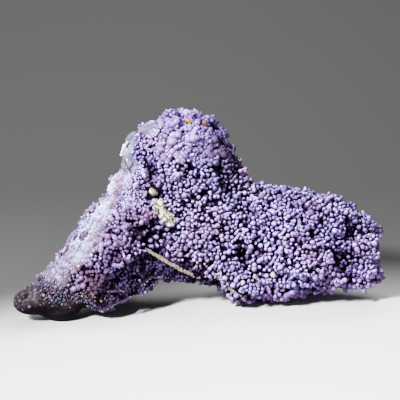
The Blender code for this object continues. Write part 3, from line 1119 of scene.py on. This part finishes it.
class CHALCEDONY_OT_grapes(bpy.types.Operator):
    """Grows the grapes on their stalks, in joined pieces"""

    bl_idname = "chalcedony.grapes"
    bl_label = "Grapes"

    def execute(self, context):
        self.chance = np.random.default_rng(SEED)
        skin = stone_skin("skin", sizes().skin_voxel, rounds=5)
        places, normals = spread_over(skin.data, sizes().tries, self.chance)
        self.skin = BVHTree.FromObject(skin, bpy.context.evaluated_depsgraph_get())
        bpy.data.objects.remove(skin)
        names = growth_names(places, normals, self.chance)
        grown = ~np.isin(names, ("slope", "bare")) & ~self.cleared(places)
        self.crowd = Crowd(cell=6 * MM)
        self.grapes = []
        for place, reach in KEPT_FREE:
            self.crowd.add(tuple(Vector(place) * MM), reach * MM)
        self.add_singles()
        self.add_bunches(places[grown], normals[grown], names[grown])
        self.add_buds()
        self.add_deeper(places[grown], normals[grown], names[grown])
        grapes = self.finished()
        seen, unseen = model_grape(segments=7, rings=5), model_grape(segments=6, rings=4)
        material = grape_material()
        for part, members in self.parts(grapes):
            own = {key: value[members] for key, value in grapes.items()}
            shape = unseen if part.endswith(("back", "foot")) else seen
            finish_piece(joined_grapes(part, own, shape), material)
        return {"FINISHED"}

    def cleared(self, places):
        """Which places are in the way of something else that shows."""
        hidden = np.zeros(len(places), dtype=bool)
        for line, reach in CLEAR:
            hidden |= from_line(places / MM, line) < reach
        return hidden

    def add(self, name, head, root, radius, out, rise, bunch=NO_BUNCH, skin=(-1, -1, -1), is_bead=False):
        """Keeps a grape, and gives it its place in the crowd. A skin below 0 is still to be chosen."""
        head.z = max(head.z, radius)
        root.z = max(root.z, radius * 0.5)
        self.crowd.add(tuple(head), radius, bunch)
        self.grapes.append((name, head, root, radius, out, rise, skin, is_bead))

    def add_singles(self):
        for middle, radius, colour in SINGLES:
            head = Vector(middle) * MM
            place, out, _, _ = self.skin.find_nearest(head)
            self.add("front", head, place - out * sizes().bed_depth, radius * MM, out, 0.0, skin=colour)

    def add_bunches(self, places, normals, names):
        """Bunches of beads, each fused to the one before, that keep clear of the other bunches."""
        level = hills(places, LEVEL_HILLS)
        level -= hollow_depth(places) + fade(normals[:, 2], "facing down") * SUNK_UNDERNEATH
        open_here = waves(places, GAP_SPACING, SEED + 6) < GAP_BELOW
        draws = self.chance.random((len(places), 4))
        for index, name in enumerate(names):
            growth = GROWTHS[name]
            if open_here[index] and growth.step > GAP_STEP:
                continue
            low, high = growth.size
            radius = sizes().grape_radius * (low + (high - low) * draws[index, 0] ** FAVOUR_SMALL)
            near, far = growth.out
            rise = near + (far - near) * draws[index, 1] + level[index]
            place, out = Vector(places[index]), Vector(normals[index])
            head = place + out * rise * MM
            if not self.crowd.has_room(tuple(head), radius, growth.apart):
                continue
            root = place - out * (sizes().bed_depth + (ROOT_DEEPER + hollow_of(place)) * MM)
            self.add(name, head, root, radius, out, rise, index)
            least, most = growth.beads
            more = least + int((most - least + 1) * draws[index, 2] ** FAVOUR_SHORT) - 1
            self.add_beads(name, growth, index, (head, radius, out, rise), more)

    def add_beads(self, name, growth, bunch, last, more):
        """The beads of a bunch after its first, along the skin in a slowly turning direction."""
        chance = self.chance
        head, radius, out, rise = last
        low, high = (size * sizes().grape_radius for size in growth.size)
        leans = head.x < LEAN_LEFT_OF and head.z > LEAN_ABOVE
        aim = Vector(chance.normal(size=3)) + (LEAN if leans else HANG)
        for _ in range(more):
            aim -= out * aim.dot(out)
            aim.normalize()
            size = min(max(radius * chance.uniform(*BEAD_SIZES), low), high)
            step = (radius + size) * growth.step
            place, normal, _, _ = self.skin.find_nearest(head + aim * step)
            rise_here = rise + chance.normal(scale=BEAD_RISES)
            away = place + normal * rise_here * MM - head
            if away.length < 1e-6:
                return
            middle = head + away.normalized() * step
            if not self.crowd.has_room(tuple(middle), size, growth.apart, bunch):
                return
            self.add(name, middle, head.copy(), size, normal, rise_here, bunch, is_bead=True)
            aim = aim * BEADS_STRAIGHT + Vector(chance.normal(scale=BEADS_WANDER, size=3))
            head, radius, out, rise = middle, size, normal, rise_here

    def add_buds(self):
        """Small buds half sunk in the outer sides of some grapes."""
        chance = self.chance
        for name, head, _, radius, out, rise, skin, _ in list(self.grapes):
            for _ in range(chance.poisson(GROWTHS[name].buds)):
                aim = (Vector(chance.normal(size=3)) + out * BUD_OUTWARD).normalized()
                size = radius * chance.uniform(*BUD_SIZES)
                middle = head + aim * radius * BUD_REACH
                bud_rise = rise + aim.dot(out) * radius / MM
                self.add(name, middle, head.copy(), size, out, bud_rise, skin=skin, is_bead=True)

    def add_deeper(self, places, normals, names):
        """Single grapes deeper between the bunches."""
        draws = self.chance.random((len(places), 3))
        low, high = DEEPER
        for index in range(0, len(places), 2):
            growth = GROWTHS[names[index]]
            if draws[index, 0] > growth.deeper:
                continue
            radius = sizes().grape_radius * (growth.size[0] + growth.size[1]) / 2
            place, out = Vector(places[index]), Vector(normals[index])
            rise = low + (high - low) * draws[index, 1] - hollow_of(place)
            head = place + out * rise * MM
            if self.crowd.has_room(tuple(head), radius, DEEPER_APART):
                self.add(names[index], head, head - out * radius * DEEPER_ROOT, radius, out, rise)

    def finished(self):
        """The grapes as arrays, with their colours and the white of their frost and painted highlight."""
        chance = self.chance
        names, *columns, is_bead = zip(*self.grapes)
        head, root, radius, out, rise, skin = (np.array(column) for column in columns)
        names, count = np.array(names), len(names)
        is_single = np.arange(count) < len(SINGLES)
        skin = np.where(skin < 0, self.skins(head, out, names, rise), skin)
        # Patches of painted light and of painted shade make the tips whiter or less white
        painted_light_and_shade = patches(head, PAINTED_LIGHT_PATCHES) * 0.3 - patches(head, PAINTED_SHADES) * 0.7
        frost = np.array([GROWTHS[name].frost for name in names]) + painted_light_and_shade
        height = rise + POCKET_AS_IF * (names == "pocket")
        frost *= fade(height, "frost height") * chance.uniform(*FROST_AND_HIGHLIGHT_CHANCE, count)
        frost *= 1 + hills(head, FROST_AND_HIGHLIGHT_HILLS)
        stalk = np.array([GROWTHS[name].stalk for name in names])
        return {
            "head": head, "root": root, "radius": radius, "out": out, "rise": rise, "skin": skin,
            "stalk": np.where(is_single, 0.25, stalk),
            "frost": np.clip(np.where(is_single, 0.1, frost), 0, WHITEST),
            "turn": chance.uniform(0, 2 * math.pi, count),
            "stretch": np.where(is_bead, 0.96, chance.uniform(0.95, 1.2, count)),
        }

    def skins(self, places, normals, names, rise):
        """A colour for each grape: its growth's own, shifted by patches, darker as painted shade on the
        lobe's top and in patches of painted shade, and a little at random.
        """
        chance = self.chance
        x, _, z = (places / MM).T
        table = {name: np.array(getattr(colours(), growth.colour)) for name, growth in GROWTHS.items()}
        skin = np.array([table[name] for name in names])
        blue = waves(places, 16 * MM, SEED + 2) + fade(rise, "deep") * 0.6 * (names != "pocket")
        skin *= 1 + blue[:, None] * BLUER
        light = 0.96 + waves(places, 9 * MM, SEED + 3) * 0.12 + chance.normal(scale=0.17, size=len(places))
        # The lobe's upper side is painted darker, as painted shade
        light *= 1 - LOBE_TOP_PAINTED_SHADE * fade(normals[:, 2], "facing up") * fade(x, "lobe top x")
        # The patches of painted shade darken the skin
        skin *= (np.clip(light, *LIGHT_LIMITS) * (1 - patches(places, PAINTED_SHADES)))[:, None]
        worn = np.isin(names, ("foot", "toe"))
        dirt = chance.random(len(places))
        above_bare = fade(z - np.interp(x, *BARE), "above bare")
        patchy = (1 + waves(places, 6 * MM, SEED + 17) * 0.7) * (0.3 + 0.7 * above_bare)
        skin[worn] *= (chance.uniform(0.3, 1.4, len(places)) * patchy)[worn][:, None]
        skin[worn & (dirt < TAN_SHARE)] = TAN_DIRT
        skin[worn & (dirt > 1 - DULL_SHARE)] = DULL_DIRT
        green = worn & (patches(places, STAINS) > dirt)
        skin[green] = np.array(colours().stain) * chance.uniform(0.5, 1.2, green.sum())[:, None]
        return np.clip(skin, 0, 1)

    def parts(self, grapes):
        """Names of the pieces that the grapes are joined in, and which grapes are in each."""
        x, y, z = (grapes["head"] / MM).T
        front = y < FRONT_OF
        low = front & (z <= PEAK_ABOVE)
        return (
            ("grapes_peak_front", front & (x < MIDDLE_TO) & (z > PEAK_ABOVE)),
            ("grapes_foot", low & (x < FOOT_TO)),
            ("grapes_left_front", low & (x >= FOOT_TO) & (x < LEFT_TO)),
            ("grapes_middle_front", low & (x >= LEFT_TO) & (x < MIDDLE_TO)),
            ("grapes_lobe_front_left", front & (x >= MIDDLE_TO) & (x < LOBE_LEFT_TO)),
            ("grapes_lobe_front_right", front & (x >= LOBE_LEFT_TO)),
            ("grapes_peak_back", ~front & (x < PEAK_BACK_TO)),
            ("grapes_lobe_back", ~front & (x >= PEAK_BACK_TO)),
        )


class CHALCEDONY_OT_seams(bpy.types.Operator):
    """Makes the tan seams, each of a few strands side by side"""

    bl_idname = "chalcedony.seams"
    bl_label = "Seams"

    def execute(self, context):
        material = seam_material()
        for number, (name, (line, reach)) in enumerate(SEAMS.items()):
            strands = []
            for turn in range(STRANDS):
                angle = turn * 2 * math.pi / STRANDS
                shift = np.array((0.3, math.cos(angle), math.sin(angle))) * reach * STRANDS_APART
                strands.append(swept(
                    f"{name}_{turn}", np.array(line) + shift, (0, -1, 1), reach * STRAND_WIDE,
                    reach * STRAND_THICK, seed=number * 10 + turn,
                ))
            make_active(strands[0])
            for strand in strands:
                strand.select_set(True)
            bpy.ops.object.join()
            strands[0].name = name
            finish_piece(strands[0], material)
        return {"FINISHED"}


class CHALCEDONY_OT_ledges(bpy.types.Operator):
    """Makes the thin dark ledges of the underside"""

    bl_idname = "chalcedony.ledges"
    bl_label = "Ledges"

    def execute(self, context):
        material = ledge_material()
        for number, (name, (line, reach)) in enumerate(LEDGES.items()):
            ledge = swept(name, line, LEDGE_OUT, LEDGE_HALF, reach, sides=14, seed=50 + number * 10)
            points = points_of(ledge.data)
            points[:, 2] += waves(points, 6 * MM, 70 + number) * 1.6 * MM
            points[:, 2] = np.maximum(points[:, 2], 0.1 * MM)
            move_points(ledge.data, points)
            finish_piece(ledge, material)
        return {"FINISHED"}


class CHALCEDONY_OT_lip(bpy.types.Operator):
    """Makes the glassy lip at the peak's left edge, and the knob and nodule"""

    bl_idname = "chalcedony.lip"
    bl_label = "Lip, nodule and knob"

    def execute(self, context):
        self.lip()
        self.nodule(np.random.default_rng(SEED + 20))
        self.knob()
        return {"FINISHED"}

    def lip(self):
        """A smooth sheet over the stone's own skin, near the lip's line."""
        lip = stone_skin("lip", LIP_VOXEL, rounds=10)
        points, normals = surface_of(lip.data)
        away = from_line(points / MM, LIP)
        low, high = LIP_HEIGHT
        height = low + (high - low) * smooth_step(LIP_REACH, LIP_REACH * 0.4, away)
        height += waves(points, 6 * MM, 32) * 0.5 - fade(points[:, 2] / MM, "lip sinks z") * LIP_SINKS
        move_points(lip.data, points + normals * height[:, None] * MM)
        with edit_mode("DESELECT"):
            bpy.ops.mesh.select_mode(type="VERT")
        lip.data.vertices.foreach_set("select", away > LIP_REACH)
        with edit_mode():
            bpy.ops.mesh.delete(type="VERT")
        apply_modifier(lip, "SOLIDIFY", thickness=LIP_THICK * MM, offset=-1)
        lip.data.shade_smooth()
        finish_piece(lip, lip_material())

    def ball(self, subdivisions):
        return made(bpy.ops.mesh.primitive_ico_sphere_add, subdivisions=subdivisions, radius=1)

    def stretch(self, ball, *axes):
        """Stretches a ball to its half axes, in millimetres."""
        ball.data.transform(Matrix.Diagonal((*(axis * MM for axis in axes), 1)))

    def settle(self, pebble, name, place, along, spacing, seed, material):
        """Sets a pebble in its place, out of the stone, and roughens and finishes it."""
        middle, _, out = place
        pebble.name = name
        pebble.data.transform(turned(along, out))
        pebble.data.transform(Matrix.Translation(Vector(middle) * MM))
        points, normals = surface_of(pebble.data)
        bumps = waves(points, spacing * MM, seed) * 0.25 * MM
        move_points(pebble.data, points + normals * bumps[:, None])
        pebble.data.shade_smooth()
        finish_piece(pebble, material)

    def nodule(self, chance):
        """The shiny cream nodule deep in the crease."""
        size = NODULE[1]
        nodule = self.ball(5)
        chipped(nodule, chance, cuts=9, depth=0.16)
        self.stretch(nodule, size * 1.25, size * 0.95, size * 0.85)
        cream = cream_material("nodule_cream", 0.12, (0.07, 0.055, 0.04), (0.30, 0.27, 0.21), 0.4)
        self.settle(nodule, "nodule", NODULE, (0.8, 0, -0.6), 1.8, 33, cream)

    def knob(self):
        """The ringed knob on the slope."""
        size = KNOB[1]
        core = self.ball(3)
        self.stretch(core, size * 0.75, size * 0.7, size * 0.8)
        knob = made(
            bpy.ops.mesh.primitive_torus_add, major_radius=size * MM, minor_radius=size * 0.42 * MM,
            major_segments=40, minor_segments=14,
        )
        core.select_set(True)
        bpy.ops.object.join()
        even_out(knob, KNOB_VOXEL, rounds=3)
        self.settle(knob, "knob", KNOB, (1, 0, 0.9), 1.5, 35, knob_material())


class CHALCEDONY_OT_crystals(bpy.types.Operator):
    """Sets the cream crystals in the crease and the pale blades on the lip"""

    bl_idname = "chalcedony.crystals"
    bl_label = "Crystals"

    def execute(self, context):
        chance = np.random.default_rng(SEED + 30)
        shape = self.model_crystal()
        count = CRYSTAL_COUNT
        share = chance.random(count) * (len(CRYSTALS) - 1)
        middles = along_line(np.array(CRYSTALS) * MM, range(len(CRYSTALS)), share)
        spread = chance.normal(size=(count, 3)) * CRYSTAL_SPREAD * MM
        spread[:, 1] = np.abs(spread[:, 1]) * CRYSTAL_OUTWARD
        radius = chance.uniform(*CRYSTAL_SIZES, count) * MM
        self.place(
            "crystals", shape, middles + spread, chance.normal(size=(count, 3)), radius, chance,
            cream_material("crystal_cream", 0.45, (0.12, 0.10, 0.075), (0.60, 0.59, 0.56), 1.0),
        )
        heads, radius, aims = (np.array(column) for column in zip(*BLADES))
        self.place(
            "lip_blades", shape, heads * MM, aims, radius * MM, chance,
            cream_material("blade_cream", 0.25, (0.42, 0.43, 0.46), (0.70, 0.71, 0.72), 0.3),
            stretch=BLADE_STRETCH,
        )
        return {"FINISHED"}

    def model_crystal(self):
        """Models one bevelled, leaning crystal, and returns its points and triangles."""
        crystal = made(bpy.ops.mesh.primitive_cube_add, size=1.5)
        apply_modifier(crystal, "BEVEL", width=0.22, segments=1, limit_method="NONE")
        apply_modifier(crystal, "TRIANGULATE")
        points, faces = taken(crystal)
        points[:, 0] += points[:, 2] * 0.25
        return points, faces

    def place(self, name, shape, heads, aims, radius, chance, material, stretch=1.0):
        """Copies the crystal to each head, with its own size, direction and turn."""
        count = len(heads)
        aims = unit(aims)
        crystals = {
            "head": heads, "root": heads - aims * radius[:, None], "radius": radius,
            "stalk": np.full(count, 1 / STALK_WIDER), "turn": chance.uniform(0, 2 * math.pi, count),
            "out": aims, "rise": np.zeros(count),
            "stretch": chance.uniform(*CRYSTAL_LENGTHS, count) * stretch,
            "skin": np.repeat(chance.uniform(0.6, 1.0, (count, 1)), 3, axis=1), "frost": np.zeros(count),
        }
        piece = joined_grapes(name, crystals, shape)
        piece.data.shade_flat()
        finish_piece(piece, material)


class CHALCEDONY_OT_slope_crust(bpy.types.Operator):
    """Grows the fine pale crust of the left slope"""

    bl_idname = "chalcedony.slope_crust"
    bl_label = "Slope crust"

    def execute(self, context):
        chance = np.random.default_rng(SEED + 10)
        skin = stone_skin("skin", sizes().skin_voxel, rounds=10)
        places, normals = spread_over(skin.data, sizes().tries // 2, chance)
        bpy.data.objects.remove(skin)
        slope = growth_names(places, normals, chance) == "slope"
        places, normals = places[slope], normals[slope]
        count = len(places)
        x, _, z = (places / MM).T
        coarse = fade(np.interp(z, *SLOPE) - x, "crust edge")
        radius = sizes().crust_radius * chance.uniform(*CRUST_SIZES, count) * (1 + coarse)
        lumps = hills(places, SLOPE_LUMPS)
        sunk = chance.uniform(*CRUST_SUNK, count) - coarse * 0.2
        head = places - normals * (radius * sunk - lumps * MM)[:, None]
        crowd = Crowd(cell=4 * MM)
        kept = []
        for index, middle in enumerate(head.tolist()):
            if crowd.has_room(middle, radius[index], CRUST_APART):
                crowd.add(middle, radius[index])
                kept.append(index)
        grains = {
            "head": head, "root": head - normals * CRUST_ROOT, "radius": radius, "out": normals,
            "skin": self.skins(places, coarse, z, chance), "frost": 0.6 - coarse * 0.4,
            "stalk": np.full(count, 0.9), "stretch": np.ones(count),
            "turn": chance.uniform(0, 2 * math.pi, count), "rise": lumps - 0.4,
        }
        grains = {key: value[kept] for key, value in grains.items()}
        piece = joined_grapes("slope_crust", grains, model_grape(segments=6, rings=5))
        finish_piece(piece, crust_material())
        return {"FINISHED"}

    def skins(self, places, coarse, height, chance):
        """A colour for each grain: pale, mauve in patches, dirty low down and darker in small spots as
        painted shade between grains.
        """
        patch = fade(waves(places, 14 * MM, SEED + 4), "crust mauve") * 0.5 + coarse * 0.75
        patch = np.clip(patch, 0, 1)[:, None]
        skins = np.array(colours().pale) * (1 - patch) + np.array(colours().mauve) * patch
        skins += (CRUST_DIRT - skins) * fade(height, "crust dirt z")[:, None] * 0.9
        skins *= chance.uniform(0.6, 1.25, len(places))[:, None]
        # Small spots of painted shade, as between the grains
        between = fade(waves(places, 2.4 * MM, SEED + 14), "crust hollow")[:, None] * 0.85
        skins += (CRUST_PAINTED_SHADE - skins) * between
        return np.clip(skins, 0, 1)


class CHALCEDONY_OT_stage(bpy.types.Operator):
    """Sets up the sweep, the lights and the camera"""

    bl_idname = "chalcedony.stage"
    bl_label = "Studio"

    def execute(self, context):
        self.sweep()
        self.softbox("key", studio().key_power, 0.17, (-0.55, -1.02, 0.69))
        self.softbox("top", studio().top_power, 0.9, (0.0, 0.45, 1.25))
        self.softbox("front", studio().front_power, 0.8, (0.35, -1.3, 0.12))
        self.fill(context.scene)
        self.camera(context.scene)
        return {"FINISHED"}

    def sweep(self):
        """The floor, which curves up into the backdrop."""
        middle = (0, FLOOR_BACK - FLOOR_SIDE / 2, 0)
        sweep = made(bpy.ops.mesh.primitive_plane_add, size=FLOOR_SIDE, location=middle)
        sweep.name = "sweep"
        with edit_mode("DESELECT"):
            bpy.ops.mesh.select_mode(type="EDGE")
        for edge in sweep.data.edges:
            edge.select = all(sweep.data.vertices[i].co.y > 0 for i in edge.vertices)
        with edit_mode():
            bpy.ops.mesh.extrude_region_move(TRANSFORM_OT_translate={"value": (0, 0, WALL_HEIGHT)})
        apply_modifier(sweep, "BEVEL", width=SWEEP_BEND, segments=32, limit_method="ANGLE")
        bpy.ops.object.transform_apply(location=True, rotation=True, scale=True)
        sweep.data.shade_smooth()
        sweep.data.materials.append(floor_material())

    def softbox(self, name, power, side, place):
        """A square soft light at a place, turned to the stone, in metres."""
        light = bpy.data.lights.new(name, "AREA")
        light.shape = "SQUARE"
        light.size = side
        light.energy = power
        lamp = added(name, light)
        lamp.location = place
        lamp.rotation_euler = (Vector(place) - CAMERA_AIM).to_track_quat("Z", "Y").to_euler()

    def fill(self, scene):
        world = bpy.data.worlds.new("studio")
        world.use_nodes = True
        background = world.node_tree.nodes["Background"]
        background.inputs["Color"].default_value = FILL_COLOUR
        background.inputs["Strength"].default_value = studio().fill
        scene.world = world

    def camera(self, scene):
        """The photograph's view: square on to the front, looking down a little."""
        data = bpy.data.cameras.new("camera")
        data.sensor_width = SENSOR_WIDTH
        data.lens = SENSOR_WIDTH * CAMERA_DISTANCE / (PICTURE_WIDTH * PIXEL_SIZE)
        data.shift_y = (AIM_ROW - PICTURE_WIDTH / 2) / PICTURE_WIDTH
        camera = added("camera", data)
        away = Vector((0, -math.cos(CAMERA_TILT), math.sin(CAMERA_TILT)))
        camera.location = CAMERA_AIM + away * CAMERA_DISTANCE
        camera.rotation_euler = away.to_track_quat("Z", "Y").to_euler()
        scene.camera = camera
        scene.view_settings.view_transform = "Filmic"
        scene.view_settings.look = "High Contrast"


class CHALCEDONY_PT_panel(bpy.types.Panel):
    """Lists the pieces of the specimen and their settings"""

    bl_label = "Chalcedony"
    bl_idname = "CHALCEDONY_PT_panel"
    bl_space_type = "VIEW_3D"
    bl_region_type = "UI"
    bl_category = "Chalcedony"

    def draw(self, context):
        column = self.layout.column()
        for operator in OPERATORS:
            column.operator(operator.bl_idname)
        for settings in (sizes(), colours(), studio()):
            box = self.layout.box()
            for name in settings.bl_rna.properties.keys():
                if name not in ("rna_type", "name"):
                    box.prop(settings, name)


OPERATORS = (
    CHALCEDONY_OT_bed,
    CHALCEDONY_OT_grapes,
    CHALCEDONY_OT_slope_crust,
    CHALCEDONY_OT_seams,
    CHALCEDONY_OT_ledges,
    CHALCEDONY_OT_lip,
    CHALCEDONY_OT_crystals,
    CHALCEDONY_OT_stage,
)
CLASSES = (StoneSizes, StoneColours, StudioSettings, *OPERATORS, CHALCEDONY_PT_panel)


def register():
    for one in CLASSES:
        bpy.utils.register_class(one)
    bpy.types.Scene.chalcedony_sizes = PointerProperty(type=StoneSizes)
    bpy.types.Scene.chalcedony_colours = PointerProperty(type=StoneColours)
    bpy.types.Scene.chalcedony_studio = PointerProperty(type=StudioSettings)


def unregister():
    del bpy.types.Scene.chalcedony_studio
    del bpy.types.Scene.chalcedony_colours
    del bpy.types.Scene.chalcedony_sizes
    for one in reversed(CLASSES):
        bpy.utils.unregister_class(one)


def main():
    register()
    bpy.ops.chalcedony.bed()
    bpy.ops.chalcedony.grapes()
    bpy.ops.chalcedony.slope_crust()
    bpy.ops.chalcedony.seams()
    bpy.ops.chalcedony.ledges()
    bpy.ops.chalcedony.lip()
    bpy.ops.chalcedony.crystals()
    bpy.ops.chalcedony.stage()


if __name__ == "__main__":
    main()
